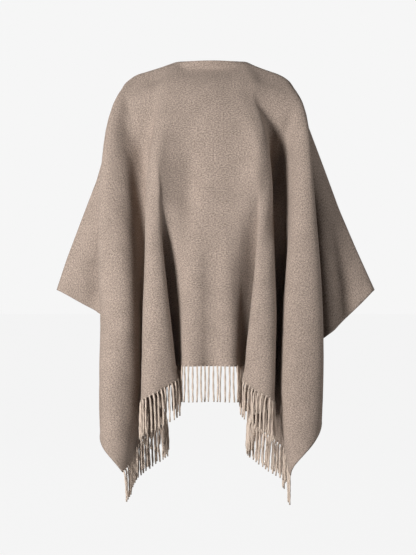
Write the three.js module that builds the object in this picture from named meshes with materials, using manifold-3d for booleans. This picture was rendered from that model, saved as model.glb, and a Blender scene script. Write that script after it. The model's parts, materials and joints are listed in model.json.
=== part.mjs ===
// An open-front woollen cape in the form it takes when it is worn, with nobody inside.
// Millimetres, +Z up. The wearer faces -Y, and +X is the wearer's left.
// The origin is the middle of the neck edge, where the shoulders carry the cape.
//
// The cloth is cut flat: a back, and two fronts that meet it along the top of the shoulders and arms.
// The back starts as its flat cut, held along that top line, and is then hung: its threads keep their
// length, it falls, it stays outside a plain figure and clear of itself, and the short tables below
// say where its largest folds stand. The fronts hang as the back does, on the other side of the arms.
import * as THREE from "three";
import { mergeVertices } from "three/addons/utils/BufferGeometryUtils.js";
import Module from "manifold-3d";

const wasm = await Module();
wasm.setup();

// Rows with a name for each column.
const table = (names, rows) =>
  rows.map((row) => Object.fromEntries(names.map((name, k) => [name, row[k]])));

const CLOTH = { half: 750, drop: 745, wall: 2.5, seam: 0.3 };
const NECK = { half: 86.6, bow: 30 };
// The strands are a little shorter towards the corners of the cloth, from the place named even.
const FRINGE = {
  length: 80, corner: 70, even: 600, radius: 2.2, taper: 0.85, parted: 0.6, strip: 4, stripWall: 4.2,
  sway: 3, follow: 0.15,
};
// How far apart the strands stand from each other and from the cloth, and from the plane of the arms.
const CLEAR = { strand: 7, cloth: 10, plane: 8, reach: 30, under: 6, rounds: 40 };

// The line over the shoulders and down the arms that carries the cloth, seen from behind.
const TOP_LINE = {
  left: table(["out", "up"], [
    [123, -13], [155, -23], [187, -33], [211, -52], [231, -101],
    [265, -238], [279, -287], [316, -384], [353, -482], [377, -555],
  ]),
  right: table(["out", "up"], [
    [109, -11], [143, -23], [172, -33], [194, -52], [211, -92],
    [257, -214], [275, -262], [311, -360], [353, -458], [397, -555],
  ]),
};

// The hem seen from below. along is the place on the cloth from the middle of the back, out is how
// far to the side it hangs, and deep is how far it stands off the plane of the shoulders.
const HEM = {
  left: table(["along", "out", "deep"], [
    [0, 0, 95], [97, 96, 92], [190, 100, 12], [280, 106, 95], [335, 138, 125], [390, 172, 95],
    [455, 145, 50], [520, 113, 14], [590, 155, 42], [650, 196, 66], [700, 209, 108], [750, 213, 140],
  ]),
  right: table(["along", "out", "deep"], [
    [0, 0, 95], [97, 96, 92], [190, 99, 12], [285, 104, 92], [330, 138, 120], [370, 167, 95],
    [415, 123, 60], [460, 77, 30], [535, 104, 34], [570, 133, 40], [650, 187, 70], [700, 196, 110],
    [750, 199, 145],
  ]),
};

// Places on the cloth that hang where the photograph shows them: the straight side edges under the
// arms and the outer face of the left fold. drop is measured down the cloth.
const HOLDS = {
  left: table(["along", "drop", "out", "deep", "up"], [
    [750, 133, 262, 15, -623], [600, 380, 248, 60, null], [670, 440, 255, 70, null],
  ]),
  right: table(["along", "drop", "out", "deep", "up"], [
    [750, 98, 336, 20, -633], [750, 183, 270, 25, -697],
  ]),
};

// The plain figure that the cloth hangs over: a chest, hips, and two lengths of each arm.
const OVALS = table(["x", "y", "z", "rx", "ry", "rz"], [
  [0, 10, -235, 160, 95, 215],
  [0, 0, -600, 150, 80, 240],
]);
const LIMBS = table(["x0", "z0", "x1", "z1", "r0", "r1"], [
  [154, -110, 325, -535, 52, 20],
  [60, -78, 154, -110, 52, 52],
  [-160, -108, -342, -535, 48, 20],
  [-60, -76, -160, -108, 52, 48],
]);

const HANG = {
  grid: 20, rows: 38, steps: 2143, rate: 500, keep: 0.98, slack: 0.99, stretch: 1.004,
  shear: 0.35, bend: 0.03, apart: 18, part: 0.4, off: 12, watch: 16, look: 1.5, gravity: 9810,
};
const SOFT = { share: 0.4, passes: 2, near: 10 };
// The lowest corners of the cloth are drawn up a little below this height.
const LOW = { below: -860, keep: 0.81 };
// How the fronts differ from the back: their folds are flatter, the cloth stands this far ahead of the
// arms from a short way below the shoulder line on, and the front edges fall open by a few millimetres.
const FRONT = { share: 0.8, ahead: 30, within: 60, open: 4 };
const GUIDE = { from: 0.3, ramp: 0.2, above: 0.3, pull: 0.0005, hold: 0.015, reach: 50 };

// The value of a column of a table at a place along its first column.
function lookUp(rows, key, place, column) {
  let k = 1;
  while (k < rows.length - 1 && rows[k][key] < place) k += 1;
  const a = rows[k - 1];
  const b = rows[k];
  return a[column] + (b[column] - a[column]) * ((place - a[key]) / (b[key] - a[key]));
}

// The carrying line from the middle of the neck to the wrist, with the length walked along it.
function topLine(side) {
  const points = [];
  const steps = 6;
  for (let k = 0; k <= steps; k += 1) {
    const f = k / steps;
    points.push({ x: NECK.half * f, y: NECK.bow * (1 - f * f), z: 0 });
  }
  const neckPoints = points.length;
  for (const row of side > 0 ? TOP_LINE.left : TOP_LINE.right) points.push({ x: row.out, y: 0, z: row.up });
  points[0].walked = 0;
  for (let k = 1; k < points.length; k += 1) {
    const dx = points[k].x - points[k - 1].x;
    const dy = points[k].y - points[k - 1].y;
    const dz = points[k].z - points[k - 1].z;
    points[k].walked = points[k - 1].walked + Math.sqrt(dx * dx + dy * dy + dz * dz);
  }
  const scale = points[points.length - 1].walked / CLOTH.half;
  return { points, scale, neck: points[neckPoints - 1].walked / scale };
}
const LINES = { left: topLine(1), right: topLine(-1) };

function topPoint(along) {
  const line = along >= 0 ? LINES.left : LINES.right;
  const walked = Math.abs(along) * line.scale;
  const x = lookUp(line.points, "walked", walked, "x");
  const y = lookUp(line.points, "walked", walked, "y");
  const z = lookUp(line.points, "walked", walked, "z");
  return [along >= 0 ? x : -x, y, z];
}

// Lets the flat back fall. stations are the places of its columns from the middle of the back.
function hang(stations) {
  const columns = stations.length;
  const rows = HANG.rows;
  const count = columns * rows;
  const across = Math.abs(stations[1] - stations[0]);
  const down = (CLOTH.drop / (rows - 1)) * HANG.slack;
  const px = new Float64Array(count);
  const py = new Float64Array(count);
  const pz = new Float64Array(count);
  const free = new Float64Array(count).fill(1);
  for (let i = 0; i < columns; i += 1) {
    const [x, y, z] = topPoint(stations[i]);
    for (let j = 0; j < rows; j += 1) {
      const k = i * rows + j;
      px[k] = x;
      py[k] = y + down * j;
      pz[k] = z;
      if (j === 0) free[k] = 0;
    }
  }
  const wx = px.slice();
  const wy = py.slice();
  const wz = pz.slice();

  // Threads in groups that share no point, so the order inside a group makes no difference.
  const threads = [];
  const lay = (di, dj, rest, stiff, pushes) => {
    const span = Math.max(di, Math.abs(dj));
    for (let colour = 0; colour < 2; colour += 1) {
      for (let i = 0; i < columns - di; i += 1) {
        for (let j = Math.max(0, -dj); j < rows - Math.max(0, dj); j += 1) {
          if (Math.floor((di ? i : j) / span) % 2 !== colour) continue;
          const a = i * rows + j;
          const b = (i + di) * rows + j + dj;
          const both = free[a] + free[b];
          if (both > 0) threads.push([a, b, rest, (free[a] / both) * stiff, (free[b] / both) * stiff, pushes]);
        }
      }
    }
  };
  const slant = Math.sqrt(across * across + down * down);
  lay(1, 0, across, 1, 0);
  lay(0, 1, down, 1, 0);
  lay(1, 1, slant, HANG.shear, 0);
  lay(1, -1, slant, HANG.shear, 0);
  lay(2, 0, 2 * across, HANG.bend, 1);
  lay(0, 2, 2 * down, HANG.bend, 1);
  const from = Int32Array.from(threads, (t) => t[0]);
  const to = Int32Array.from(threads, (t) => t[1]);
  const rest = Float64Array.from(threads, (t) => t[2]);
  const giveA = Float64Array.from(threads, (t) => t[3]);
  const giveB = Float64Array.from(threads, (t) => t[4]);
  const pushes = Int32Array.from(threads, (t) => t[5]);

  const hemX = new Float64Array(columns);
  const hemY = new Float64Array(columns);
  const pull = new Float64Array(rows);
  const holds = [];
  for (let i = 0; i < columns; i += 1) {
    const way = stations[i] >= 0 ? 1 : -1;
    const hem = way > 0 ? HEM.left : HEM.right;
    hemX[i] = way * lookUp(hem, "along", Math.abs(stations[i]), "out");
    hemY[i] = lookUp(hem, "along", Math.abs(stations[i]), "deep");
  }
  for (let j = 0; j < rows; j += 1) {
    const s = Math.max(0, (j / (rows - 1) - GUIDE.above) / (1 - GUIDE.above));
    pull[j] = GUIDE.pull * s * s;
  }
  for (const way of [1, -1]) {
    for (const row of way > 0 ? HOLDS.left : HOLDS.right) {
      for (let i = 0; i < columns; i += 1) {
        for (let j = 1; j < rows; j += 1) {
          const a = stations[i] - way * row.along;
          const b = (CLOTH.drop / (rows - 1)) * j - row.drop;
          const off = (a * a + b * b) / (GUIDE.reach * GUIDE.reach);
          if (off >= 4) continue;
          const weight = GUIDE.hold * (1 - off / 4) * (1 - off / 4);
          holds.push([i * rows + j, way * row.out, row.deep, row.up, weight]);
        }
      }
    }
  }

  const fall = HANG.gravity / (HANG.rate * HANG.rate);
  const near = HANG.apart * HANG.look;
  let pairs = [];
  for (let step = 0; step < HANG.steps; step += 1) {
    for (let k = 0; k < count; k += 1) {
      const mx = (px[k] - wx[k]) * HANG.keep;
      const my = (py[k] - wy[k]) * HANG.keep;
      const mz = (pz[k] - wz[k]) * HANG.keep;
      wx[k] = px[k];
      wy[k] = py[k];
      wz[k] = pz[k];
      if (!free[k]) continue;
      px[k] += mx;
      py[k] += my;
      pz[k] += mz - fall;
    }
    const guided = Math.min(1, (step / HANG.steps - GUIDE.from) / GUIDE.ramp);
    if (guided > 0) {
      for (let i = 0; i < columns; i += 1) {
        for (let j = 1; j < rows; j += 1) {
          const k = i * rows + j;
          const w = pull[j] * guided;
          px[k] += (hemX[i] - px[k]) * w;
          py[k] += (hemY[i] - py[k]) * w;
        }
      }
      for (const [k, x, y, z, weight] of holds) {
        const w = weight * guided;
        px[k] += (x - px[k]) * w;
        py[k] += (y - py[k]) * w;
        if (z !== null) pz[k] += (z - pz[k]) * w;
      }
    }
    for (let t = 0; t < from.length; t += 1) {
      const a = from[t];
      const b = to[t];
      const dx = px[b] - px[a];
      const dy = py[b] - py[a];
      const dz = pz[b] - pz[a];
      const length = Math.sqrt(dx * dx + dy * dy + dz * dz) + 1e-9;
      const error = (length - rest[t]) / length;
      if (pushes[t] && error > 0) continue;
      const f = error * giveA[t];
      const g = error * giveB[t];
      px[a] += dx * f;
      py[a] += dy * f;
      pz[a] += dz * f;
      px[b] -= dx * g;
      py[b] -= dy * g;
      pz[b] -= dz * g;
    }
    for (let k = 0; k < count; k += 1) {
      if (!free[k]) continue;
      // No point hangs further from its place on the carrying line than the cloth between them.
      const top = k - (k % rows);
      const most = (k - top) * down * HANG.stretch;
      const dx = px[k] - px[top];
      const dy = py[k] - py[top];
      const dz = pz[k] - pz[top];
      const length = Math.sqrt(dx * dx + dy * dy + dz * dz) + 1e-9;
      if (length > most) {
        const f = most / length;
        px[k] = px[top] + dx * f;
        py[k] = py[top] + dy * f;
        pz[k] = pz[top] + dz * f;
      }
      for (const o of OVALS) {
        const ax = (px[k] - o.x) / o.rx;
        const ay = (py[k] - o.y) / o.ry;
        const az = (pz[k] - o.z) / o.rz;
        const r = Math.sqrt(ax * ax + ay * ay + az * az);
        if (r < 1) {
          px[k] = o.x + (ax / r) * o.rx;
          py[k] = o.y + (ay / r) * o.ry;
          pz[k] = o.z + (az / r) * o.rz;
        }
      }
      for (const l of LIMBS) {
        const ex = l.x1 - l.x0;
        const ez = l.z1 - l.z0;
        const raw = ((px[k] - l.x0) * ex + (pz[k] - l.z0) * ez) / (ex * ex + ez * ez);
        const t = Math.min(1, Math.max(0, raw));
        const r = l.r0 + (l.r1 - l.r0) * t;
        const lx = px[k] - (l.x0 + ex * t);
        const lz = pz[k] - (l.z0 + ez * t);
        const d = Math.sqrt(lx * lx + py[k] * py[k] + lz * lz) + 1e-9;
        if (d < r) {
          const f = r / d - 1;
          px[k] += lx * f;
          py[k] += py[k] * f;
          pz[k] += lz * f;
        }
      }
      if (py[k] < HANG.off) py[k] = HANG.off;
    }
    if (step % HANG.watch === 0) {
      pairs = [];
      for (let a = 0; a < count; a += 1) {
        for (let b = a + 1; b < count; b += 1) {
          const dx = px[b] - px[a];
          if (dx > near || dx < -near) continue;
          const dy = py[b] - py[a];
          const dz = pz[b] - pz[a];
          if (dx * dx + dy * dy + dz * dz > near * near) continue;
          const gapI = Math.abs(Math.floor(a / rows) - Math.floor(b / rows));
          const gapJ = Math.abs((a % rows) - (b % rows));
          if (gapI > 2 || gapJ > 2) pairs.push([a, b]);
        }
      }
    }
    const sumX = new Float64Array(count);
    const sumY = new Float64Array(count);
    const sumZ = new Float64Array(count);
    const hits = new Float64Array(count);
    const close = [];
    for (const [a, b] of pairs) {
      const dx = px[b] - px[a];
      const dy = py[b] - py[a];
      const dz = pz[b] - pz[a];
      const length = Math.sqrt(dx * dx + dy * dy + dz * dz) + 1e-9;
      if (length >= HANG.apart) continue;
      const f = ((length - HANG.apart) / length) * HANG.part;
      close.push([a, b, dx * f, dy * f, dz * f]);
    }
    for (const [a, , x, y, z] of close) {
      sumX[a] += x;
      sumY[a] += y;
      sumZ[a] += z;
      hits[a] += 1;
    }
    for (const [, b, x, y, z] of close) {
      sumX[b] -= x;
      sumY[b] -= y;
      sumZ[b] -= z;
      hits[b] += 1;
    }
    for (let k = 0; k < count; k += 1) {
      if (!hits[k] || !free[k]) continue;
      px[k] += sumX[k] / hits[k];
      py[k] += sumY[k] / hits[k];
      pz[k] += sumZ[k] / hits[k];
    }
  }
  // Thick wool rounds off the tightest creases.
  const soften = (p) =>
    p.map((here, k) => {
      const i = Math.floor(k / rows);
      const j = k % rows;
      if (j === 0 || j === rows - 1) return here;
      const edge = i === 0 || i === columns - 1;
      const beside = edge ? here : (p[k - rows] + p[k + rows]) / 2;
      return here + SOFT.share * ((beside + (p[k - 1] + p[k + 1]) / 2) / 2 - here);
    });
  let hung = [px, py, pz];
  for (let pass = 0; pass < SOFT.passes; pass += 1) hung = hung.map(soften);
  const drawn = hung[2].map((z) => (z < LOW.below ? LOW.below + (z - LOW.below) * LOW.keep : z));
  return { stations, rows, side: 1, px: hung[0], py: hung[1], pz: drawn };
}

// A smooth point between four in a row.
function between(a, b, c, d, t) {
  return b.map((_, k) => {
    const m = (c[k] - a[k]) / 2;
    const n = (d[k] - b[k]) / 2;
    const r = c[k] - b[k];
    return b[k] + t * (m + t * (3 * r - 2 * m - n + t * (m + n - 2 * r)));
  });
}

// The hung piece as a smooth surface. Over the shoulder it runs on level into the other piece.
function surface(piece) {
  const { stations, rows, px, py, pz } = piece;
  const columns = stations.length;
  const step = stations[1] - stations[0];
  const point = (i, j) => {
    if (i < 0) return point(0, j).map((c, k) => 2 * c - point(1, j)[k]);
    if (i >= columns) return point(columns - 1, j).map((c, k) => 2 * c - point(columns - 2, j)[k]);
    if (j >= rows) return point(i, rows - 1).map((c, k) => 2 * c - point(i, rows - 2)[k]);
    if (j < 0) {
      const [x, y, z] = point(i, -j);
      const atNeck = Math.abs(stations[i]) < LINES.left.neck - 1;
      return atNeck ? point(i, 0).map((c, k) => 2 * c - [x, y, z][k]) : [x, -y, z];
    }
    const k = i * rows + j;
    return [px[k], py[k], pz[k]];
  };
  return (along, drop) => {
    const u = (along - stations[0]) / step;
    const v = (drop / CLOTH.drop) * (rows - 1);
    const i = Math.min(columns - 2, Math.max(0, Math.floor(u)));
    const j = Math.min(rows - 2, Math.max(0, Math.floor(v)));
    const line = [-1, 0, 1, 2].map((q) =>
      between(point(i + q, j - 1), point(i + q, j), point(i + q, j + 1), point(i + q, j + 2), v - j),
    );
    return between(...line, u - i);
  };
}

const minus = (a, b) => a.map((c, k) => c - b[k]);
const plus = (a, b, f) => a.map((c, k) => c + b[k] * f);
const unit = (a) => {
  const r = Math.sqrt(a[0] * a[0] + a[1] * a[1] + a[2] * a[2]);
  return a.map((c) => c / r);
};
const cross = (a, b) => [a[1] * b[2] - a[2] * b[1], a[2] * b[0] - a[0] * b[2], a[0] * b[1] - a[1] * b[0]];

// The outward direction of the cloth at a place on it.
function outward(at, side, along, drop, first, last) {
  const a = at(Math.max(first, along - SOFT.near), drop);
  const b = at(Math.min(last, along + SOFT.near), drop);
  const c = at(along, Math.max(0, drop - SOFT.near));
  const d = at(along, drop + SOFT.near);
  return unit(cross(minus(b, a), minus(d, c))).map((v) => v * side);
}

// A closed wall through a grid of places on the cloth, with the same thickness to each side.
function wallGeometry(at, side, stations, drops, thickness, seamed) {
  const rows = drops.length;
  const first = stations[0];
  const last = stations[stations.length - 1];
  const outer = [];
  const inner = [];
  for (const along of stations) {
    for (const drop of drops) {
      const place = at(along, drop);
      let way = outward(at, side, along, drop, first, last);
      if (seamed(along) && drop === 0) {
        place[1] = (side * CLOTH.seam) / 2;
        way = unit([way[0], 0, way[2]]);
      }
      outer.push(plus(place, way, thickness / 2));
      inner.push(plus(place, way, -thickness / 2));
    }
  }
  const index = [];
  const count = outer.length;
  const face = (a, b, c) => (side > 0 ? index.push(a, b, c) : index.push(a, c, b));
  const quad = (a, b, c, d) => {
    face(a, b, c);
    face(a, c, d);
  };
  // The two skins are split the same way, along the longer diagonal, which runs with a fold.
  const middle = outer.map((point, k) => plus(point, minus(inner[k], point), 0.5));
  const far = (a, b) => {
    const d = minus(middle[a], middle[b]);
    return d[0] * d[0] + d[1] * d[1] + d[2] * d[2];
  };
  const id = (i, j) => i * rows + j;
  const columns = stations.length;
  for (let i = 0; i < columns - 1; i += 1) {
    for (let j = 0; j < rows - 1; j += 1) {
      const corners = [id(i, j), id(i + 1, j), id(i + 1, j + 1), id(i, j + 1)];
      if (far(corners[0], corners[2]) < far(corners[1], corners[3])) corners.push(corners.shift());
      const [a, b, c, d] = corners;
      quad(a, b, c, d);
      face(count + a, count + c, count + b);
      face(count + a, count + d, count + c);
    }
    quad(id(i, 0), count + id(i, 0), count + id(i + 1, 0), id(i + 1, 0));
    quad(id(i, rows - 1), id(i + 1, rows - 1), count + id(i + 1, rows - 1), count + id(i, rows - 1));
  }
  for (let j = 0; j < rows - 1; j += 1) {
    quad(id(0, j), id(0, j + 1), count + id(0, j + 1), count + id(0, j));
    quad(id(columns - 1, j), count + id(columns - 1, j), count + id(columns - 1, j + 1), id(columns - 1, j + 1));
  }
  const geometry = new THREE.BufferGeometry();
  geometry.setAttribute("position", new THREE.Float32BufferAttribute([...outer, ...inner].flat(), 3));
  geometry.setIndex(index);
  return geometry;
}

function solid(geometry) {
  const bare = geometry.clone();
  for (const name of ["normal", "uv"]) if (bare.getAttribute(name)) bare.deleteAttribute(name);
  const merged = mergeVertices(bare, 1e-4);
  return new wasm.Manifold(
    new wasm.Mesh({
      numProp: 3,
      vertProperties: new Float32Array(merged.attributes.position.array),
      triVerts: new Uint32Array(merged.index.array),
    }),
  );
}

function geometryOf(manifold) {
  const mesh = manifold.getMesh();
  const geometry = new THREE.BufferGeometry();
  geometry.setAttribute("position", new THREE.BufferAttribute(new Float32Array(mesh.vertProperties), 3));
  geometry.setIndex(new THREE.BufferAttribute(new Uint32Array(mesh.triVerts), 1));
  return geometry;
}

// Where the tip of each strand hangs: below its root, clear of the cloth beside it and of the others.
function tipsOf(roots, falls, lengths, clothPoints, side) {
  const reach = FRINGE.length + CLEAR.reach;
  const tips = roots.map((root, k) => plus(root, falls[k], lengths[k]));
  const walls = roots.map((root) =>
    clothPoints.filter(
      ([x, y, z]) => Math.abs(x - root[0]) < reach && Math.abs(y - root[1]) < reach && z < root[2] - CLEAR.under,
    ),
  );
  const along = (k, t) => plus(roots[k], minus(tips[k], roots[k]), t);
  const near = (k) =>
    roots.map((_, q) => q).filter((q) => q !== k && Math.hypot(...minus(roots[q], roots[k])) < reach);
  const beside = roots.map((_, k) => near(k));
  for (let round = 0; round < CLEAR.rounds; round += 1) {
    for (let k = 0; k < roots.length; k += 1) {
      const push = [0, 0];
      for (const t of [0.25, 0.5, 0.75, 1]) {
        const here = along(k, t);
        const meet = (there, clear) => {
          const d = minus(here, there);
          const r = Math.sqrt(d[0] * d[0] + d[1] * d[1] + d[2] * d[2]);
          if (r >= clear) return;
          const flat = Math.sqrt(d[0] * d[0] + d[1] * d[1]) + 1e-6;
          push[0] += ((d[0] / flat) * (clear - r)) / t;
          push[1] += ((d[1] / flat) * (clear - r)) / t;
        };
        for (const point of walls[k]) meet(point, CLEAR.cloth);
        for (const q of beside[k]) for (const s of [t - 0.1, t, t + 0.1]) meet(along(q, s), CLEAR.strand);
      }
      const most = Math.max(1, Math.hypot(...push) / 4);
      const tip = [tips[k][0] + push[0] / most, tips[k][1] + push[1] / most, tips[k][2]];
      if (tip[1] * side < CLEAR.plane) tip[1] = CLEAR.plane * side;
      tips[k] = plus(roots[k], unit(minus(tip, roots[k])), lengths[k]);
    }
  }
  return tips;
}

// Twisted ends hanging from a narrow strip just below the hem. Each cell of the cloth carries two, and
// the underside of the strip is open where a three-sided strand grows from it.
function fringeGeometry(at, side, stations) {
  const first = stations[0];
  const last = stations[stations.length - 1];
  const drops = [CLOTH.drop + FRINGE.parted, CLOTH.drop + FRINGE.parted + FRINGE.strip];
  const skins = stations.map((along) =>
    drops.map((drop) => {
      const place = at(along, drop);
      const way = outward(at, side, along, drop, first, last);
      return [plus(place, way, FRINGE.stripWall / 2), plus(place, way, -FRINGE.stripWall / 2)];
    }),
  );
  const halfway = (a, b) => plus(a, minus(b, a), 0.5);
  const columns = [];
  skins.forEach((skin, i) => {
    if (i > 0) columns.push(skin.map((pair, j) => pair.map((point, k) => halfway(point, skins[i - 1][j][k]))));
    columns.push(skin);
  });
  const points = [];
  for (const [[topOut, topIn], [lowOut, lowIn]] of columns) points.push(topOut, topIn, lowOut, lowIn);
  const index = [];
  const face = (a, b, c) => (side > 0 ? index.push(a, b, c) : index.push(a, c, b));
  const quad = (a, b, c, d) => {
    face(a, b, c);
    face(a, c, d);
  };
  const cells = columns.length - 1;
  const roots = [];
  const falls = [];
  const lengths = [];
  const rings = [];
  for (let m = 0; m < cells; m += 1) {
    const [topOut, topIn, lowOut, lowIn, topOut2, topIn2, lowOut2, lowIn2] = [0, 1, 2, 3, 4, 5, 6, 7].map(
      (k) => 4 * m + k,
    );
    quad(topOut, topOut2, lowOut2, lowOut);
    quad(topIn, lowIn, lowIn2, topIn2);
    quad(topOut, topIn, topIn2, topOut2);
    const spot = (f, g) => {
      const outer = plus(points[lowOut], minus(points[lowOut2], points[lowOut]), f);
      const inner = plus(points[lowIn], minus(points[lowIn2], points[lowIn]), f);
      return plus(outer, minus(inner, outer), g);
    };
    const width = Math.sqrt(minus(points[lowOut2], points[lowOut]).reduce((sum, c) => sum + c * c, 0));
    const half = Math.min(0.36, (FRINGE.radius * 0.866) / width);
    const ring = [spot(0.5 - half, 0.88), spot(0.5 + half, 0.88), spot(0.5, 0.12)];
    const base = points.length;
    points.push(...ring);
    const [a, b, c] = [base, base + 1, base + 2];
    face(lowOut, lowOut2, c);
    face(lowOut2, lowIn2, b);
    face(lowOut2, b, c);
    face(lowIn2, lowIn, a);
    face(lowIn2, a, b);
    face(lowIn, lowOut, a);
    face(lowOut, c, a);
    const lean = FRINGE.sway * ((((m * 7) % 11) - 5) / 5 / FRINGE.length);
    const cloth = unit(minus(points[lowOut], points[topOut]));
    const place = Math.abs(first + ((last - first) * (m + 0.5)) / cells);
    const outer = Math.max(0, (place - FRINGE.even) / (CLOTH.half - FRINGE.even));
    lengths.push(FRINGE.length + (FRINGE.corner - FRINGE.length) * outer);
    roots.push(spot(0.5, 0.5));
    falls.push(unit([cloth[0] * FRINGE.follow + lean, cloth[1] * FRINGE.follow - lean * 0.6, -1]));
    rings.push(base);
  }
  quad(0, 2, 3, 1);
  const end = 4 * cells;
  quad(end, end + 1, end + 3, end + 2);
  const clothPoints = [];
  for (let along = first; along <= last; along += 10) {
    for (let drop = CLOTH.drop - 400; drop <= CLOTH.drop + 3; drop += 10) clothPoints.push(at(along, drop));
  }
  const tips = tipsOf(roots, falls, lengths, clothPoints, side);
  rings.forEach((base, m) => {
    const [a, b, c] = [base, base + 1, base + 2];
    const low = points.length;
    for (const k of [a, b, c]) points.push(plus(tips[m], minus(points[k], roots[m]), FRINGE.taper));
    quad(b, a, low, low + 1);
    quad(c, b, low + 1, low + 2);
    quad(a, c, low + 2, low);
    face(low, low + 2, low + 1);
  });
  const geometry = new THREE.BufferGeometry();
  geometry.setAttribute("position", new THREE.Float32BufferAttribute(points.flat(), 3));
  geometry.setIndex(index);
  return geometryOf(solid(geometry));
}

// Places spread evenly.
const spread = (from, to, count) => Array.from({ length: count + 1 }, (_, k) => from + ((to - from) * k) / count);

const neckLeft = LINES.left.neck;
const neckRight = LINES.right.neck;
const back = hang(spread(-CLOTH.half, CLOTH.half, (2 * CLOTH.half) / HANG.grid));
const forward = (k) => {
  const left = Math.max(0, 1 - ((k % back.rows) * CLOTH.drop) / (back.rows - 1) / FRONT.within);
  return 1 - left * left;
};
const opened = (k) => {
  const along = back.stations[Math.floor(k / back.rows)];
  return (along > 0 ? 1 : -1) * FRONT.open * (1 - Math.abs(along) / CLOTH.half) * forward(k);
};
const front = {
  ...back,
  side: -1,
  px: back.px.map((x, k) => x + opened(k)),
  py: back.py.map((y, k) => -y * FRONT.share - FRONT.ahead * forward(k)),
};

const wool = new THREE.MeshStandardMaterial({ name: "wool", color: "#a59489", roughness: 0.95, metalness: 0 });
const yarn = new THREE.MeshStandardMaterial({ name: "yarn", color: "#b3a294", roughness: 0.95, metalness: 0 });
const cape = new THREE.Group();
const add = (name, geometry, material) => {
  const mesh = new THREE.Mesh(geometry, material);
  mesh.name = name;
  cape.add(mesh);
};
const drops = [0, 8, ...spread(30, CLOTH.drop, 20)];
const seamedBack = (along) => along >= neckLeft || along <= -neckRight;
const leftColumns = spread(neckLeft, CLOTH.half, 27);
const rightColumns = spread(-CLOTH.half, -neckRight, 27);
const backColumns = [...rightColumns, ...spread(-neckRight, neckLeft, 8).slice(1, -1), ...leftColumns];
const pieces = [
  { name: "back", piece: back, columns: backColumns, seamed: seamedBack },
  { name: "front_left", piece: front, columns: leftColumns, seamed: () => true },
  { name: "front_right", piece: front, columns: rightColumns, seamed: () => true },
];
for (const { name, piece, columns, seamed } of pieces) {
  const at = surface(piece);
  add(name, wallGeometry(at, piece.side, columns, drops, CLOTH.wall, seamed), wool);
  add(`fringe_${name}`, fringeGeometry(at, piece.side, columns), yarn);
}

export default cape;
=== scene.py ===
"""An open-front woollen cape as it is worn, with nobody inside: its cloth, fringe, floor, light and camera.

Metres, +Z up, with the back of the cape towards +Y. The cloth is hung from its flat cut in the same way
as the solids were, in millimetres, and then gets its finer creases and the nap of its wool.
"""
import json
import math

import bpy
import numpy as np
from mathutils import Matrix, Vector
from mathutils.kdtree import KDTree

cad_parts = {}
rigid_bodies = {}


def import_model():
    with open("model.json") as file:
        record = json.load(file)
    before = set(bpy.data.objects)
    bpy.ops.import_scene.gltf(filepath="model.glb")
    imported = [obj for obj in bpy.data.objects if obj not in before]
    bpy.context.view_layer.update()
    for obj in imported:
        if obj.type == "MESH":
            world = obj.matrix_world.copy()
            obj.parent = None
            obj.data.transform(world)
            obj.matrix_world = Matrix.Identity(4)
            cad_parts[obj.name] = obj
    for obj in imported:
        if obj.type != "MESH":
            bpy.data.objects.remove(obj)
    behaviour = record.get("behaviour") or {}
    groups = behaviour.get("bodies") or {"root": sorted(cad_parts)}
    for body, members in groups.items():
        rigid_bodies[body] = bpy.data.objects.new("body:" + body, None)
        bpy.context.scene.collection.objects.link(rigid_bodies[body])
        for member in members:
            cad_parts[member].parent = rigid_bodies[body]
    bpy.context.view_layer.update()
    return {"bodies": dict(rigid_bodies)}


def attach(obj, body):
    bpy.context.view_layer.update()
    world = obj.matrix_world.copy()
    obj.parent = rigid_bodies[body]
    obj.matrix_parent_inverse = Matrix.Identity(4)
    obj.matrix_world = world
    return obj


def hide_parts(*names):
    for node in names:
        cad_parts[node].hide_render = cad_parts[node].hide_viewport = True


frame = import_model()

MM = 0.001


def table(names, rows):
    """Rows with a name for each column."""
    return [dict(zip(names.split(), row)) for row in rows]


# The camera stands behind the cape, level with its middle.
CAMERA = {"x": 0.0085, "y": 3.1975, "z": -0.5246, "lens": 85, "sensor": 36}


def make_camera():
    data = bpy.data.cameras.new("camera")
    data.lens = CAMERA["lens"]
    data.sensor_width = CAMERA["sensor"]
    camera = bpy.data.objects.new("camera", data)
    bpy.context.scene.collection.objects.link(camera)
    camera.location = (CAMERA["x"], CAMERA["y"], CAMERA["z"])
    camera.rotation_euler = (math.radians(90), 0, math.radians(180))
    bpy.context.scene.camera = camera


make_camera()


# The flat cut, in millimetres as all that follows up to the materials: half its width, and its drop from
# the line over the shoulders to the hem.
CLOTH = {"half": 750, "drop": 745, "wall": 2.6}
# The neck edge bows back from the line of the shoulders, and steps is how many straight lengths it has.
NECK = {"half": 86.6, "bow": 30, "steps": 6}
# The strands are a little shorter towards the corners of the cloth, from the place named even. root is how
# far they stand in the hem, and strip is where they come apart below it.
FRINGE = {
    "length": 80, "corner": 70, "even": 600, "root": 3, "strip": 4.6, "sway": 1.4, "back_sway": 0.6,
    "follow": 0.1, "back_count": 144, "front_count": 63,
}

# The line over the shoulders and down the arms that carries the cloth, on the wearer's left (1) and right.
TOP_LINE = {
    1: table("out up", [
        (123, -13), (155, -23), (187, -33), (211, -52), (231, -101),
        (265, -238), (279, -287), (316, -384), (353, -482), (377, -555),
    ]),
    -1: table("out up", [
        (109, -11), (143, -23), (172, -33), (194, -52), (211, -92),
        (257, -214), (275, -262), (311, -360), (353, -458), (397, -555),
    ]),
}

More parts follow.
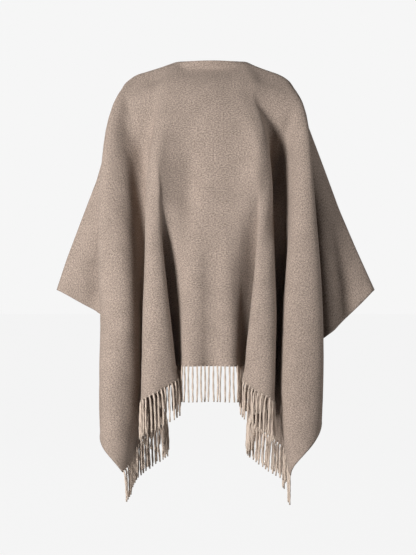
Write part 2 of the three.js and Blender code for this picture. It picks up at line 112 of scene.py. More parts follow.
# The hem seen from below. along is the place on the cloth from the middle of the back, out is how far
# to the side it hangs, and deep is how far it stands off the plane of the shoulders.
HEM = {
    1: table("along out deep", [
        (0, 0, 95), (97, 96, 92), (190, 100, 12), (280, 106, 95), (335, 138, 125), (390, 172, 95),
        (455, 145, 50), (520, 113, 14), (590, 155, 42), (650, 196, 66), (700, 209, 108), (750, 213, 140),
    ]),
    -1: table("along out deep", [
        (0, 0, 95), (97, 96, 92), (190, 99, 12), (285, 104, 92), (330, 138, 120), (370, 167, 95),
        (415, 123, 60), (460, 77, 30), (535, 104, 34), (570, 133, 40), (650, 187, 70), (700, 196, 110),
        (750, 199, 145),
    ]),
}

# Places that hang where the photograph shows them. drop is measured down the cloth.
HOLDS = {
    1: table("along drop out deep up", [
        (750, 133, 262, 15, -623), (600, 380, 248, 60, None), (670, 440, 255, 70, None),
    ]),
    -1: table("along drop out deep up", [
        (750, 98, 336, 20, -633), (750, 183, 270, 25, -697),
    ]),
}

# The plain figure that the cloth hangs over: a chest, hips, and two lengths of each arm.
OVALS = table("x y z rx ry rz", [
    (0, 10, -235, 160, 95, 215),
    (0, 0, -600, 150, 80, 240),
])
LIMBS = table("x0 z0 x1 z1 r0 r1", [
    (154, -110, 325, -535, 52, 20),
    (60, -78, 154, -110, 52, 52),
    (-160, -108, -342, -535, 48, 20),
    (-60, -76, -160, -108, 52, 48),
])

# The fall of the cloth. grid and rows part it into points, rate is steps a second, keep is the share of its
# speed that a point keeps in a step, slack and stretch are how much its threads give, apart is the room
# between folds, and off is the room to the plane of the shoulders. Folds near each other are looked for
# within look times that room, once in watch steps.
HANG = {
    "grid": 20, "rows": 38, "steps": 2143, "rate": 500, "keep": 0.98, "slack": 0.99, "stretch": 1.004,
    "shear": 0.35, "bend": 0.03, "apart": 18, "part": 0.4, "off": 12, "watch": 16, "look": 1.5,
    "gravity": 9810,
}
# How much of a crease one pass rounds off, and how many passes there are.
SOFT = {"share": 0.4, "passes": 2}
# The lowest corners of the cloth are drawn up a little below this height.
LOW = {"below": -860, "keep": 0.81}
# How the fronts differ from the back: their folds are flatter, they stand ahead of the arms from within a
# short way of the line over the shoulders on, and their front edges are open.
FRONT = {"share": 0.8, "ahead": 30, "within": 60, "open": 4}
# When in the fall the tables of the hem and the holds set in, how much of the cloth above they leave alone,
# how strongly they pull, and how far round a hold they reach.
GUIDE = {"from": 0.3, "ramp": 0.2, "above": 0.3, "pull": 0.0005, "hold": 0.015, "reach": 50}
# Keeps a length that is divided by above nought.
TINY = 1e-9


def lengths_of(d):
    """The length of each row of a list of ways."""
    return np.sqrt(d[:, 0] * d[:, 0] + d[:, 1] * d[:, 1] + d[:, 2] * d[:, 2]) + TINY


def look_up(rows, key, places, column):
    """The values of a column of a table at places along its first column."""
    keys = [row[key] for row in rows]
    values = [row[column] for row in rows]
    return np.interp(places, keys, values)


def top_line(side):
    """The carrying line from the middle of the neck to the wrist, and the station of the neck's corner."""
    points = []
    for k in range(NECK["steps"] + 1):
        f = k / NECK["steps"]
        points.append((NECK["half"] * f, NECK["bow"] * (1 - f * f), 0.0))
    corner = len(points) - 1
    points += [(row["out"], 0.0, row["up"]) for row in TOP_LINE[side]]
    points = np.array(points, float)
    walked = np.concatenate([[0.0], np.cumsum(np.sqrt((np.diff(points, axis=0) ** 2).sum(axis=1)))])
    scale = walked[-1] / CLOTH["half"]
    return {"points": points, "walked": walked, "scale": scale, "neck": walked[corner] / scale}


LINES = {1: top_line(1), -1: top_line(-1)}


def top_points(stations):
    """Where the carrying line holds each station of the cloth."""
    found = np.zeros((len(stations), 3))
    for k, along in enumerate(stations):
        side = 1 if along >= 0 else -1
        line = LINES[side]
        walked = abs(along) * line["scale"]
        for axis in range(3):
            found[k, axis] = np.interp(walked, line["walked"], line["points"][:, axis])
        found[k, 0] *= side
    return found


def thread_groups(columns, rows, across, down, free):
    """The threads in groups that share no point. Each has its ends, its rest length, how much each end
    gives, and whether it only pushes."""
    slant = math.sqrt(across * across + down * down)
    layout = [
        (1, 0, across, 1, False), (0, 1, down, 1, False),
        (1, 1, slant, HANG["shear"], False), (1, -1, slant, HANG["shear"], False),
        (2, 0, 2 * across, HANG["bend"], True), (0, 2, 2 * down, HANG["bend"], True),
    ]
    groups = []
    for di, dj, rest, stiff, pushes in layout:
        span = max(di, abs(dj))
        i, j = np.meshgrid(np.arange(columns - di), np.arange(max(0, -dj), rows - max(0, dj)), indexing="ij")
        i = i.ravel()
        j = j.ravel()
        for colour in (0, 1):
            mine = ((i if di else j) // span) % 2 == colour
            a = i[mine] * rows + j[mine]
            b = (i[mine] + di) * rows + j[mine] + dj
            both = free[a] + free[b]
            a, b, both = a[both > 0], b[both > 0], both[both > 0]
            groups.append((a, b, rest, free[a] / both * stiff, free[b] / both * stiff, pushes))
    return groups


# A hold fades out at twice its reach, which is this many times its reach squared.
HOLD_EDGE = 4


def hold_groups(stations, rows):
    """For each hold: the points that it pulls, where to, and how strongly."""
    found = []
    i, j = np.meshgrid(np.arange(len(stations)), np.arange(1, rows), indexing="ij")
    i = i.ravel()
    j = j.ravel()
    for way in (1, -1):
        for row in HOLDS[way]:
            a = stations[i] - way * row["along"]
            b = CLOTH["drop"] / (rows - 1) * j - row["drop"]
            off = (a * a + b * b) / (GUIDE["reach"] * GUIDE["reach"])
            near = off < HOLD_EDGE
            weight = GUIDE["hold"] * (1 - off[near] / HOLD_EDGE) * (1 - off[near] / HOLD_EDGE)
            found.append(((i * rows + j)[near], way * row["out"], row["deep"], row["up"], weight))
    return found


# Points of the cloth this near to each other in its grid belong to one fold.
ONE_FOLD = 2
# How much further the search for close points goes than needed, so that rounding loses none.
SPARE = 0.5


def close_pairs(p, rows, reach):
    """Pairs of points of different folds that are nearly together."""
    tree = KDTree(len(p))
    for k, place in enumerate(p):
        tree.insert(place, k)
    tree.balance()
    a = []
    b = []
    for k, place in enumerate(p):
        others = sorted(q for _, q, _ in tree.find_range(place, reach + SPARE) if q > k)
        a += [k] * len(others)
        b += others
    a = np.array(a, int)
    b = np.array(b, int)
    d = p[b] - p[a]
    apart = d[:, 0] * d[:, 0] + d[:, 1] * d[:, 1] + d[:, 2] * d[:, 2]
    gap = np.maximum(abs(a // rows - b // rows), abs(a % rows - b % rows))
    kept = (apart <= reach * reach) & (gap > ONE_FOLD)
    return a[kept], b[kept]


def hem_guides(stations, rows):
    """Where the hem's table draws each point of the cloth across and out, and how strongly."""
    out = np.zeros(len(stations))
    deep = np.zeros(len(stations))
    for i, along in enumerate(stations):
        way = 1 if along >= 0 else -1
        out[i] = way * look_up(HEM[way], "along", abs(along), "out")
        deep[i] = look_up(HEM[way], "along", abs(along), "deep")
    lower = np.maximum(0, (np.arange(rows) / (rows - 1) - GUIDE["above"]) / (1 - GUIDE["above"]))
    pull = np.tile(GUIDE["pull"] * lower * lower, len(stations))
    return np.repeat(out, rows), np.repeat(deep, rows), pull


def follow_guides(p, guides, holds, guided):
    """Draws the points a little towards the places in the tables."""
    out, deep, pull = guides
    p[:, 0] += (out - p[:, 0]) * (pull * guided)
    p[:, 1] += (deep - p[:, 1]) * (pull * guided)
    for mine, x, y, z, weight in holds:
        p[mine, 0] += (x - p[mine, 0]) * (weight * guided)
        p[mine, 1] += (y - p[mine, 1]) * (weight * guided)
        if z is not None:
            p[mine, 2] += (z - p[mine, 2]) * (weight * guided)


def pull_threads(p, groups):
    """Brings each thread back to its length."""
    for a, b, rest, give_a, give_b, pushes in groups:
        d = p[b] - p[a]
        length = lengths_of(d)
        error = (length - rest) / length
        if pushes:
            error[error > 0] = 0
        p[a] += d * (error * give_a)[:, None]
        p[b] -= d * (error * give_b)[:, None]


def part_folds(p, free, first, second):
    """Moves points of different folds that are too near to each other apart."""
    d = p[second] - p[first]
    length = lengths_of(d)
    touching = length < HANG["apart"]
    a, b, d, length = first[touching], second[touching], d[touching], length[touching]
    d *= ((length - HANG["apart"]) / length * HANG["part"])[:, None]
    total = np.zeros(p.shape)
    hits = np.zeros(len(p))
    np.add.at(total, a, d)
    np.add.at(hits, a, 1)
    np.subtract.at(total, b, d)
    np.add.at(hits, b, 1)
    moved = (hits > 0) & (free > 0)
    p[moved] += total[moved] / hits[moved][:, None]


def hang(stations):
    """Lets the flat back fall."""
    columns = len(stations)
    rows = HANG["rows"]
    across = abs(stations[1] - stations[0])
    down = CLOTH["drop"] / (rows - 1) * HANG["slack"]
    level = np.tile(np.arange(rows), columns)
    tops = np.repeat(np.arange(columns) * rows, rows)
    p = np.repeat(top_points(stations), rows, axis=0)
    p[:, 1] += down * level
    was = p.copy()
    free = (level > 0).astype(float)
    loose = np.nonzero(free)[0]
    pinned = np.nonzero(free == 0)[0]
    groups = thread_groups(columns, rows, across, down, free)
    holds = hold_groups(stations, rows)
    guides = hem_guides(stations, rows)
    most = (level * down * HANG["stretch"])[loose]
    fall = HANG["gravity"] / (HANG["rate"] * HANG["rate"])
    for step in range(HANG["steps"]):
        move = (p - was) * HANG["keep"]
        was = p.copy()
        move[:, 2] -= fall
        move[pinned] = 0
        p += move
        guided = min(1, (step / HANG["steps"] - GUIDE["from"]) / GUIDE["ramp"])
        if guided > 0:
            follow_guides(p, guides, holds, guided)
        pull_threads(p, groups)
        q = p[loose]
        start = p[tops[loose]]
        d = q - start
        length = lengths_of(d)
        far = length > most
        q[far] = start[far] + d[far] * (most[far] / length[far])[:, None]
        keep_out(q)
        p[loose] = q
        if step % HANG["watch"] == 0:
            first, second = close_pairs(p, rows, HANG["apart"] * HANG["look"])
        part_folds(p, free, first, second)
    grid = soften(p.reshape(columns, rows, 3))
    low = grid[:, :, 2] < LOW["below"]
    grid[low, 2] = LOW["below"] + (grid[low, 2] - LOW["below"]) * LOW["keep"]
    return {"stations": stations, "side": 1, "grid": grid}


def front_of(back):
    """The fronts hang as the back does, on the other side of the arms."""
    rows = HANG["rows"]
    left = np.maximum(0, 1 - np.arange(rows) * CLOTH["drop"] / (rows - 1) / FRONT["within"])
    forward = 1 - left * left
    along = back["stations"]
    opened = np.where(along > 0, 1, -1) * FRONT["open"] * (1 - abs(along) / CLOTH["half"])
    grid = back["grid"].copy()
    grid[:, :, 0] += opened[:, None] * forward
    grid[:, :, 1] = -grid[:, :, 1] * FRONT["share"] - FRONT["ahead"] * forward
    return {"stations": along, "side": -1, "grid": grid}


def keep_out(q):
    """Keeps points outside the figure and behind the plane of the shoulders."""
    for o in OVALS:
        ax = (q[:, 0] - o["x"]) / o["rx"]
        ay = (q[:, 1] - o["y"]) / o["ry"]
        az = (q[:, 2] - o["z"]) / o["rz"]
        r = np.sqrt(ax * ax + ay * ay + az * az)
        inside = r < 1
        q[inside, 0] = o["x"] + (ax / r)[inside] * o["rx"]
        q[inside, 1] = o["y"] + (ay / r)[inside] * o["ry"]
        q[inside, 2] = o["z"] + (az / r)[inside] * o["rz"]
    for limb in LIMBS:
        ex = limb["x1"] - limb["x0"]
        ez = limb["z1"] - limb["z0"]
        raw = ((q[:, 0] - limb["x0"]) * ex + (q[:, 2] - limb["z0"]) * ez) / (ex * ex + ez * ez)
        t = np.minimum(1, np.maximum(0, raw))
        r = limb["r0"] + (limb["r1"] - limb["r0"]) * t
        lx = q[:, 0] - (limb["x0"] + ex * t)
        lz = q[:, 2] - (limb["z0"] + ez * t)
        d = np.sqrt(lx * lx + q[:, 1] * q[:, 1] + lz * lz) + TINY
        f = np.where(d < r, r / d - 1, 0)
        q[:, 0] += lx * f
        q[:, 1] += q[:, 1] * f
        q[:, 2] += lz * f
    q[:, 1] = np.maximum(HANG["off"], q[:, 1])


def soften(grid):
    """Thick wool rounds off the tightest creases."""
    for _ in range(SOFT["passes"]):
        beside = grid.copy()
        beside[1:-1] = (grid[:-2] + grid[2:]) / 2
        near = (beside[:, 1:-1] + (grid[:, :-2] + grid[:, 2:]) / 2) / 2
        softer = grid.copy()
        softer[:, 1:-1] += SOFT["share"] * (near - grid[:, 1:-1])
        grid = softer
    return grid


def with_margin(piece):
    """The hung grid with one more row and column all round. Over the shoulder it runs on into the other
    piece."""
    grid = piece["grid"]
    above = grid[:, 1] * [1, -1, 1]
    neck = abs(piece["stations"]) < LINES[1]["neck"] - 1
    above[neck] = 2 * grid[neck, 0] - grid[neck, 1]
    below = 2 * grid[:, -1] - grid[:, -2]
    grid = np.concatenate([above[:, None], grid, below[:, None]], axis=1)
    first = 2 * grid[0] - grid[1]
    last = 2 * grid[-1] - grid[-2]
    return np.concatenate([first[None], grid, last[None]], axis=0)


def blend_weights(t):
    """How much each of four neighbours in a row counts for a smooth point between the middle two."""
    return [
        (-t + 2 * t**2 - t**3) / 2,
        1 - 2.5 * t**2 + 1.5 * t**3,
        (t + 4 * t**2 - 3 * t**3) / 2,
        (t**3 - t**2) / 2,
    ]


def on_cloth(piece, along, drop):
    """Places on the hung cloth, in millimetres."""
    grid = piece["margin"]
    stations = piece["stations"]
    rows = HANG["rows"]
    u = (along - stations[0]) / (stations[1] - stations[0])
    v = drop / CLOTH["drop"] * (rows - 1)
    i = np.clip(np.floor(u).astype(int), 0, len(stations) - 2)
    j = np.clip(np.floor(v).astype(int), 0, rows - 2)
    found = np.zeros(u.shape + (3,))
    for q, wu in enumerate(blend_weights(u - i)):
        for r, wv in enumerate(blend_weights(v - j)):
            found += grid[i + q, j + r] * (wu * wv)[..., None]
    return found


def spread(start, end, count):
    """Places from start to end, count equal steps apart."""
    return start + (end - start) * np.arange(count + 1) / count


# The wool lies smoothly over the shoulder blades below the neck, and the folds grow out of it. reach is how
# far this goes across the cloth, rows how far down the hung grid, and passes how often each point is evened
# out. share is how much at the neck edge, and fade how fast that grows less down the cloth.
YOKE = {"reach": 230, "rows": 24, "passes": 14, "share": 0.5, "fade": 1.5}


def even_out(back):
    """Takes the last of the neck edge's shape out of the cloth below it."""
    near = np.nonzero(abs(back["stations"]) < YOKE["reach"])[0]
    last = YOKE["rows"]
    share = YOKE["share"] * (1 - np.arange(1, last) / last) ** YOKE["fade"]
    grid = back["grid"]
    for _ in range(YOKE["passes"]):
        middle = (grid[near - 1, 1:last, 1] + grid[near + 1, 1:last, 1]) / 2
        grid[near, 1:last, 1] += share * (middle - grid[near, 1:last, 1])


def hang_all():
    """The hung back and fronts, ready to be read by on_cloth."""
    half = CLOTH["half"]
    back = hang(spread(-half, half, round(2 * half / HANG["grid"])))
    front = front_of(back)
    even_out(back)
    for piece in (back, front):
        piece["margin"] = with_margin(piece)
    return {"back": back, "front_left": front, "front_right": front}


# Soft troughs and ridges of the wool. Each runs from one place on the cloth to another, wide is about half
# of its width, and rise is how far it stands out from the wearer, or in if it is below nought. The first
# four of the back shape the folds that show best, and the rest are faint.
CREASES = {
    "back": table("along drop to_along to_drop wide rise", [
        (16, 150, 90, 560, 30, -13), (122, 90, 112, 600, 50, 26), (-106, 80, -120, 640, 44, 28),
        (-208, 120, -232, 500, 30, -24),
        (-60, 60, -150, 330, 16, 2.2), (70, 70, 165, 300, 18, 2.0), (-20, 300, -36, 700, 26, 1.6),
        (38, 250, 30, 720, 30, 1.4), (-240, 90, -300, 420, 14, 2.4), (-330, 120, -390, 520, 17, -2.2),
        (250, 80, 300, 380, 15, 2.2), (350, 110, 380, 460, 20, -2.0), (560, 60, 520, 300, 16, 2.0),
        (620, 90, 600, 420, 22, -1.8), (-560, 60, -540, 260, 15, 2.2), (-640, 80, -610, 380, 20, -2.0),
        (-460, 300, -440, 640, 18, 1.8), (470, 330, 480, 660, 20, 1.8), (-690, 240, -640, 560, 20, 1.6),
        (690, 260, 650, 600, 22, 1.6), (0, 30, 8, 190, 34, -1.2), (130, 380, 120, 690, 18, -1.4),
        (-125, 420, -118, 700, 16, -1.4), (590, 470, 600, 700, 18, -1.8), (-590, 430, -600, 690, 18, 1.6),
    ]),
    "front_left": table("along drop to_along to_drop wide rise", [
        (150, 60, 200, 360, 16, 2.0), (260, 90, 300, 460, 18, -2.0), (400, 60, 390, 380, 17, 2.0),
        (500, 240, 480, 600, 20, -1.8), (610, 70, 590, 400, 20, 1.8), (680, 300, 650, 640, 22, -1.6),
        (120, 380, 125, 690, 18, 1.4),
    ]),
    "front_right": table("along drop to_along to_drop wide rise", [
        (-140, 70, -190, 340, 17, 2.0), (-280, 60, -320, 430, 16, -2.2), (-420, 90, -400, 420, 19, 1.8),
        (-520, 200, -500, 560, 18, -1.8), (-630, 60, -600, 380, 21, 2.0), (-700, 320, -660, 640, 20, -1.6),
        (-125, 400, -120, 700, 16, 1.4),
    ]),
}


# A crease wanders by a share of its width, in slow waves along it, and its ends run out softly. It grows to
# its full height from the line over the shoulders to the drop named start.
CREASE = {"wander": 0.35, "waves": 6, "ends": 1.5, "start": 40}


def crease_height(rows, along, drop):
    """How far the creases of a piece stand out at each place on it."""
    height = np.zeros(along.shape)
    for row in rows:
        ax = row["to_along"] - row["along"]
        ay = row["to_drop"] - row["drop"]
        length = math.hypot(ax, ay)
        t = ((along - row["along"]) * ax + (drop - row["drop"]) * ay) / length**2
        wander = CREASE["wander"] * row["wide"] * np.sin(CREASE["waves"] * t + row["along"])
        off = ((along - row["along"]) * ay - (drop - row["drop"]) * ax) / length + wander
        ends = np.clip(t, 0, 1)
        height += row["rise"] * np.exp(-((off / row["wide"]) ** 2)) * np.sin(math.pi * ends) ** CREASE["ends"]
    return height


def new_grid(name, across, down):
    """A flat grid 1 wide and 1 high, on the origin."""
    bpy.ops.object.select_all(action="DESELECT")
    bpy.ops.mesh.primitive_grid_add(x_subdivisions=across, y_subdivisions=down, size=1)
    piece = bpy.context.object
    piece.name = name
    piece.data.name = name
    return piece


def places_of(mesh):
    """The places of a mesh's corners."""
    found = np.zeros(len(mesh.vertices) * 3, np.float32)
    mesh.vertices.foreach_get("co", found)
    return found.reshape(-1, 3).astype(float)


def put(mesh, places):
    """Moves a mesh's corners to places in millimetres."""
    mesh.vertices.foreach_set("co", (places * MM).astype(np.float32).ravel())
    mesh.update()


def smooth(piece):
    """Shades a piece as one soft surface."""
    bpy.ops.object.select_all(action="DESELECT")
    piece.select_set(True)
    bpy.context.view_layer.objects.active = piece
    bpy.ops.object.shade_smooth()


# The width of a face of the cloth, fine enough for the folds and creases to stay round.
FINE = 6


def make_cloth(name, piece, first, last):
    """One cut piece: a fine grid laid on the hung form, with its soft creases, and then made thick."""
    cells = round((last - first) / FINE)
    rows = round(CLOTH["drop"] / FINE)
    cloth = new_grid(name + "_cloth", cells, rows)
    flat = places_of(cloth.data)
    along = first + (flat[:, 0] + 0.5) * (last - first)
    drop = (0.5 - flat[:, 1]) * CLOTH["drop"]
    places = on_cloth(piece, along, drop)
    begun = np.clip(drop / CREASE["start"], 0, 1)
    places[:, 1] += piece["side"] * crease_height(CREASES[name], along, drop) * begun
    put(cloth.data, places)
    corners = np.zeros(len(cloth.data.loops), int)
    cloth.data.loops.foreach_get("vertex_index", corners)
    cut = np.column_stack([along[corners], -drop[corners]]) * MM
    cloth.data.uv_layers.active.data.foreach_set("uv", cut.ravel())
    if piece["side"] > 0:
        turn_over(cloth)
    smooth(cloth)
    wall = cloth.modifiers.new("thickness", "SOLIDIFY")
    wall.thickness = CLOTH["wall"] * MM
    wall.offset = 0
    bpy.ops.object.modifier_apply(modifier=wall.name)
    return cloth


def turn_over(piece):
    """Turns every face round, so that they face away from the wearer."""
    bpy.context.view_layer.objects.active = piece
    bpy.ops.object.mode_set(mode="EDIT")
    bpy.ops.mesh.select_all(action="SELECT")
    bpy.ops.mesh.flip_normals()
    bpy.ops.object.mode_set(mode="OBJECT")


# One twisted strand of the fringe, as wide as the photograph shows. It is flatter one way, as two plies
# turned round each other are, and twist is how far it turns over its length. From end on it narrows to its
# tip. Each strand bows a little another way than the one beside it, and starts at another turn.
STRAND = {
    "sides": 6, "levels": 12, "radius": 2.5, "flat": 0.7, "twist": 9.0, "end": 0.97, "tip": 0.8,
    "bow": 1.3, "bow_turn": 2.4, "turn": 1.3,
}
BOW_WAY = np.array([1, -0.4, 0])


def model_strand():
    """A strand 1 long, standing on the origin, whose corners the copies move along their own paths."""
    bpy.ops.object.select_all(action="DESELECT")
    bpy.ops.mesh.primitive_cylinder_add(vertices=STRAND["sides"], radius=1, depth=1, location=(0, 0, 0))
    strand = bpy.context.object
    bpy.ops.object.mode_set(mode="EDIT")
    bpy.ops.mesh.select_mode(type="EDGE")
    bpy.ops.mesh.select_all(action="DESELECT")
    bpy.ops.object.mode_set(mode="OBJECT")
    for edge in strand.data.edges:
        a, b = (strand.data.vertices[k].co.z for k in edge.vertices)
        upright = abs(a - b) > 0.5
        edge.select = upright
    bpy.ops.object.mode_set(mode="EDIT")
    bpy.ops.mesh.subdivide(number_cuts=STRAND["levels"] - 1)
    bpy.ops.object.mode_set(mode="OBJECT")
    return strand


def strand_places(shape, path, turn):
    """Moves the strand's corners so that it follows a path of places, twisted as it goes."""
    t = shape[:, 2] + 0.5
    levels = len(path) - 1
    k = np.clip((t * levels).astype(int), 0, levels - 1)
    part = (t * levels - k)[:, None]
    centre = path[k] * (1 - part) + path[k + 1] * part
    heading = path[k + 1] - path[k]
    heading /= np.linalg.norm(heading, axis=1)[:, None]
    across = np.cross(heading, [0, 1, 0])
    across /= np.linalg.norm(across, axis=1)[:, None]
    out = np.cross(heading, across)
    angle = np.arctan2(shape[:, 1], shape[:, 0])
    twist = STRAND["twist"] * t + turn
    thick = np.where(t > STRAND["end"], STRAND["tip"], 1.0) * STRAND["radius"]
    x = np.cos(angle) * thick
    y = np.sin(angle) * thick * STRAND["flat"]
    a = x * np.cos(twist) - y * np.sin(twist)
    b = x * np.sin(twist) + y * np.cos(twist)
    return centre + across * a[:, None] + out * b[:, None]


# How far apart the strands stand from each other and from the cloth, and from the plane of the arms. They
# are moved apart in rounds. Only cloth beside a strand counts, within reach and further under its root than
# named, and it is looked at in the lowest part of the cloth, at points spaced apart.
CLEAR = {
    "strand": 7, "cloth": 10, "plane": 8, "reach": 30, "under": 6, "rounds": 40, "lowest": 400, "spaced": 10,
}
# Where along its length a strand is kept clear, and how far up and down the next one this looks.
CHECKED = (0.25, 0.5, 0.75, 1)
BESIDE = 0.1
# The most that a tip moves in a round.
MOST_MOVED = 4


def low_cloth(piece, first, last):
    """Points of the cloth that its fringe might touch."""
    across = np.arange(first, last, CLEAR["spaced"])
    hem = CLOTH["drop"]
    down = spread(hem - CLEAR["lowest"], hem, round(CLEAR["lowest"] / CLEAR["spaced"]))
    along, drop = np.meshgrid(across, down)
    return on_cloth(piece, along.ravel().astype(float), drop.ravel().astype(float))


def strand_tips(piece, roots, falls, lengths, first, last):
    """Where each strand ends: below its root, clear of the cloth beside it and of the other strands."""
    cloth = low_cloth(piece, first, last)
    reach = FRINGE["length"] + CLEAR["reach"]
    tips = roots + falls * lengths[:, None]
    walls = []
    beside = []
    for k, root in enumerate(roots):
        near = (abs(cloth[:, :2] - root[:2]) < reach).all(axis=1) & (cloth[:, 2] < root[2] - CLEAR["under"])
        walls.append(cloth[near])
        others = np.nonzero(np.linalg.norm(roots - root, axis=1) < reach)[0]
        beside.append(others[others != k])
    for _ in range(CLEAR["rounds"]):
        for k, root in enumerate(roots):
            push = np.zeros(2)
            near_roots = roots[beside[k]]
            near_ways = tips[beside[k]] - near_roots
            for t in CHECKED:
                here = root + (tips[k] - root) * t
                strands = np.concatenate([near_roots + near_ways * s for s in (t - BESIDE, t, t + BESIDE)])
                for there, clear in ((walls[k], CLEAR["cloth"]), (strands, CLEAR["strand"])):
                    d = here - there
                    r = np.linalg.norm(d, axis=1)
                    hit = r < clear
                    level = np.linalg.norm(d[hit, :2], axis=1) + 1e-6
                    push += (d[hit, :2] * ((clear - r[hit]) / level / t)[:, None]).sum(axis=0)
            most = max(1, np.linalg.norm(push) / MOST_MOVED)
            tip = tips[k].copy()
            tip[:2] += push / most
            if tip[1] * piece["side"] < CLEAR["plane"]:
                tip[1] = CLEAR["plane"] * piece["side"]
            way = tip - root
            tips[k] = root + way / np.linalg.norm(way) * lengths[k]
    return tips


def ways_to_fall(starts, roots):
    """Each strand hangs nearly straight down. It leans a little, and follows the cloth a little."""
    cloth_way = roots - starts
    cloth_way /= np.linalg.norm(cloth_way, axis=1)[:, None]
    order = np.arange(len(roots))
    mixed = (order * 7 % 11 - 5) / 5
    lean = FRINGE["sway"] * (mixed / FRINGE["length"])
    follow = cloth_way * FRINGE["follow"]
    across = follow[:, 0] + lean
    back = follow[:, 1] - lean * FRINGE["back_sway"]
    falls = np.column_stack([across, back, -np.ones(len(roots))])
    return falls / np.linalg.norm(falls, axis=1)[:, None]


def make_fringe(name, piece, first, last, count):
    """The twisted ends of the warp, a joined row of copies of one strand."""
    along = first + (np.arange(count) + 0.5) * (last - first) / count
    hem = np.full(count, CLOTH["drop"], float)
    starts = on_cloth(piece, along, hem - FRINGE["root"])
    roots = on_cloth(piece, along, hem + FRINGE["strip"])
    outer = np.maximum(0, (abs(along) - FRINGE["even"]) / (CLOTH["half"] - FRINGE["even"]))
    lengths = FRINGE["length"] + (FRINGE["corner"] - FRINGE["length"]) * outer
    tips = strand_tips(piece, roots, ways_to_fall(starts, roots), lengths, first, last)
    model = model_strand()
    shape = places_of(model.data)
    copies = []
    t = np.linspace(0, 1, STRAND["levels"] + 1)[:, None]
    for k in range(count):
        strand = model.copy()
        strand.data = model.data.copy()
        bpy.context.scene.collection.objects.link(strand)
        bow = STRAND["bow"] * math.sin(k * STRAND["bow_turn"]) * np.sin(math.pi * t) * BOW_WAY
        path = roots[k] + (tips[k] - roots[k]) * t + bow
        path[0] = starts[k]
        put(strand.data, strand_places(shape, path, k * STRAND["turn"]))
        copies.append(strand)
    bpy.data.objects.remove(model)
    bpy.ops.object.select_all(action="DESELECT")
    for strand in copies:
        strand.select_set(True)
    fringe = copies[0]
    bpy.context.view_layer.objects.active = fringe
    bpy.ops.object.join()
    fringe.name = name
    fringe.data.name = name
    smooth(fringe)
    return fringe


def linear(hex_colour):
    """The linear colour of an sRGB hex value."""
    values = [int(hex_colour[k:k + 2], 16) / 255 for k in (1, 3, 5)]
    return [v / 12.92 if v <= 0.04045 else ((v + 0.055) / 1.055) ** 2.4 for v in values] + [1]


def node(tree, kind, settings, **links):
    """Adds a node. settings holds its own values by name, and links the value or socket of each input. An
    input goes by its name, or by n and its number where inputs share a name."""
    made = tree.nodes.new(kind)
    for name, value in settings.items():
        setattr(made, name, value)
    for name, value in links.items():
        numbered = name[0] == "n" and name[1:].isdigit()
        socket = made.inputs[int(name[1:]) if numbered else name.replace("_", " ")]
        if isinstance(value, bpy.types.NodeSocket):
            tree.links.new(value, socket)
        else:
            socket.default_value = value
    return made


def brushed_wool():
    """Brushed melange wool: a taupe of lighter and darker fibres, a short raised nap that hides the weave,
    and a faint light edge where the nap is seen from the side."""
    material = bpy.data.materials.new("brushed melange wool")
    material.use_nodes = True
    tree = material.node_tree
    shader = tree.nodes["Principled BSDF"]
    cut = node(tree, "ShaderNodeUVMap", {}).outputs["UV"]
    # The dyed fibres show as flecks about 4 mm wide and 2.5 mm high, because the weft lies across the cloth.
    weft = node(tree, "ShaderNodeMapping", {}, Vector=cut, Scale=(250, 400, 1))
    across = weft.outputs["Vector"]
    flecks = node(tree, "ShaderNodeTexNoise", {}, Vector=across, Scale=1, Detail=3, Roughness=0.7)
    # The blend shifts slowly over the cloth, in clouds about 45 mm across.
    clouds = node(tree, "ShaderNodeTexNoise", {}, Vector=cut, Scale=22, Detail=4, Roughness=0.6)
    spots = node(tree, "ShaderNodeMapRange", {}, Value=flecks.outputs["Fac"], From_Min=0.35, From_Max=0.65)
    blend = node(
        tree, "ShaderNodeMix", {"data_type": "RGBA"},
        n0=spots.outputs["Result"], n6=linear("#786a60"), n7=linear("#bba99c"),
    )
    tone = node(
        tree, "ShaderNodeMix", {"data_type": "RGBA", "blend_type": "MULTIPLY"},
        n0=0.35, n6=blend.outputs[2], n7=clouds.outputs["Fac"],
    )
    tree.links.new(tone.outputs[2], shader.inputs["Base Color"])
    shader.inputs["Roughness"].default_value = 0.95
    shader.inputs["Specular IOR Level"].default_value = 0.15
    shader.inputs["Sheen Weight"].default_value = 0.15
    shader.inputs["Sheen Roughness"].default_value = 0.5
    shader.inputs["Sheen Tint"].default_value = linear("#c9beb5")
    # The nap lies down the cloth, in locks about 3 mm wide and 10 mm long.
    lie = node(tree, "ShaderNodeMapping", {}, Vector=cut, Scale=(330, 100, 1))
    down = lie.outputs["Vector"]
    locks = node(tree, "ShaderNodeTexNoise", {}, Vector=down, Scale=1, Detail=4, Roughness=0.7)
    nap = node(tree, "ShaderNodeBump", {}, Strength=0.6, Distance=0.0014, Height=locks.outputs["Fac"])
    tree.links.new(nap.outputs["Normal"], shader.inputs["Normal"])
    return material


def twisted_yarn():
    """Twisted wool yarn: paler than the cloth because its fibres lie one way, with soft flecks about 3 mm
    across."""
    material = bpy.data.materials.new("twisted wool yarn")
    material.use_nodes = True
    tree = material.node_tree
    shader = tree.nodes["Principled BSDF"]
    place = node(tree, "ShaderNodeTexCoord", {}).outputs["Object"]
    flecks = node(tree, "ShaderNodeTexNoise", {}, Vector=place, Scale=300, Detail=3, Roughness=0.6)
    tone = node(
        tree, "ShaderNodeMix", {"data_type": "RGBA"},
        n0=flecks.outputs["Fac"], n6=linear("#a39183"), n7=linear("#cdbdae"),
    )
    tree.links.new(tone.outputs[2], shader.inputs["Base Color"])
    shader.inputs["Roughness"].default_value = 0.9
    shader.inputs["Specular IOR Level"].default_value = 0.2
    shader.inputs["Sheen Weight"].default_value = 0.2
    shader.inputs["Sheen Roughness"].default_value = 0.5
    return material


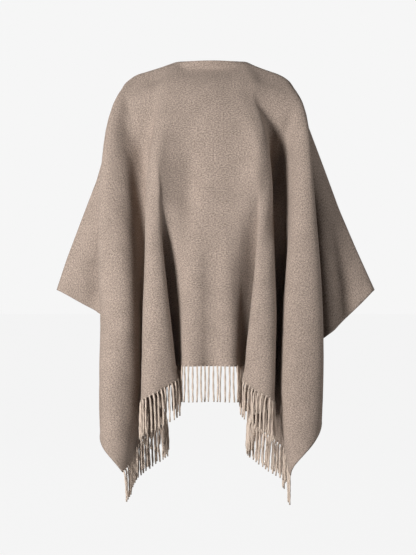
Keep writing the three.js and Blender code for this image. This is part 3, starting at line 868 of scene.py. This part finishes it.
# The pale tone of the studio, how much of it the floor shows by itself rather than by the lights on it, and
# how bright the world is on the cape.
STUDIO = {"tone": "#f6f6f6", "paper": "#8c8c8c", "even": 0.98, "world": 0.03}


def studio_floor():
    """White paper, washed with light so that it is as pale far off as it is near."""
    material = bpy.data.materials.new("white studio paper")
    material.use_nodes = True
    tree = material.node_tree
    shader = tree.nodes["Principled BSDF"]
    shader.inputs["Base Color"].default_value = linear(STUDIO["paper"])
    shader.inputs["Roughness"].default_value = 1
    shader.inputs["Specular IOR Level"].default_value = 0
    seen = node(tree, "ShaderNodeLightPath", {}).outputs["Is Camera Ray"]
    share = node(tree, "ShaderNodeMath", {"operation": "MULTIPLY"}, n0=seen, n1=STUDIO["even"])
    wash = node(tree, "ShaderNodeEmission", {}, Color=linear(STUDIO["tone"]), Strength=1)
    both = node(
        tree, "ShaderNodeMixShader", {},
        n0=share.outputs["Value"], n1=shader.outputs["BSDF"], n2=wash.outputs["Emission"],
    )
    tree.links.new(both.outputs["Shader"], tree.nodes["Material Output"].inputs["Surface"])
    return material


# The wearer would stand on the floor, far below the fringe.
FLOOR = {"z": -1.45, "half": 30}


def make_floor():
    bpy.ops.object.select_all(action="DESELECT")
    bpy.ops.mesh.primitive_plane_add(size=2 * FLOOR["half"], location=(0, 0, FLOOR["z"]))
    floor = bpy.context.object
    floor.name = "floor"
    floor.data.materials.append(studio_floor())


# Soft boxes, in metres and watts, that all look at the middle of the cape. The main one stands to the left
# of the camera at the height of the shoulders, so the folds shade to the right. The front one lights the
# side that faces away.
AIM = (0, 0, -0.5)
LIGHTS = table("name x y z size power", [
    ("main", 2.0, 2.6, 0.0, 0.8, 165),
    ("fill", -3.4, 0.9, 0.0, 1.0, 42),
    ("front", 1.4, -3.0, 1.2, 1.6, 150),
])


def make_lights():
    for row in LIGHTS:
        data = bpy.data.lights.new(row["name"], "AREA")
        data.size = row["size"]
        data.energy = row["power"]
        light = bpy.data.objects.new(row["name"], data)
        bpy.context.scene.collection.objects.link(light)
        light.location = (row["x"], row["y"], row["z"])
        aim = Vector(AIM) - light.location
        light.rotation_euler = aim.to_track_quat("-Z", "Y").to_euler()


def make_world():
    """Pale all round where it is seen, and a dimmer light on the cape."""
    world = bpy.data.worlds.new("studio")
    world.use_nodes = True
    tree = world.node_tree
    background = tree.nodes["Background"]
    background.inputs["Color"].default_value = linear(STUDIO["tone"])
    seen = node(tree, "ShaderNodeLightPath", {}).outputs["Is Camera Ray"]
    bright = node(tree, "ShaderNodeMapRange", {}, Value=seen, To_Min=STUDIO["world"], To_Max=1)
    tree.links.new(bright.outputs["Result"], background.inputs["Strength"])
    bpy.context.scene.world = world


hung = hang_all()
half = CLOTH["half"]
# Where each piece starts and ends across the cloth, and how many strands its fringe has.
reaches = {
    "back": (-half, half, FRINGE["back_count"]),
    "front_left": (LINES[1]["neck"], half, FRINGE["front_count"]),
    "front_right": (-half, -LINES[-1]["neck"], FRINGE["front_count"]),
}
wool = brushed_wool()
yarn = twisted_yarn()
body = next(iter(frame["bodies"]))
for name, (first, last, count) in reaches.items():
    cloth = make_cloth(name, hung[name], first, last)
    cloth.data.materials.append(wool)
    fringe = make_fringe("twisted_ends_" + name, hung[name], first, last, count)
    fringe.data.materials.append(yarn)
    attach(cloth, body)
    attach(fringe, body)
    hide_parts(name)
    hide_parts("fringe_" + name)
make_floor()
make_lights()
make_world()
bpy.context.scene.view_settings.view_transform = "Standard"
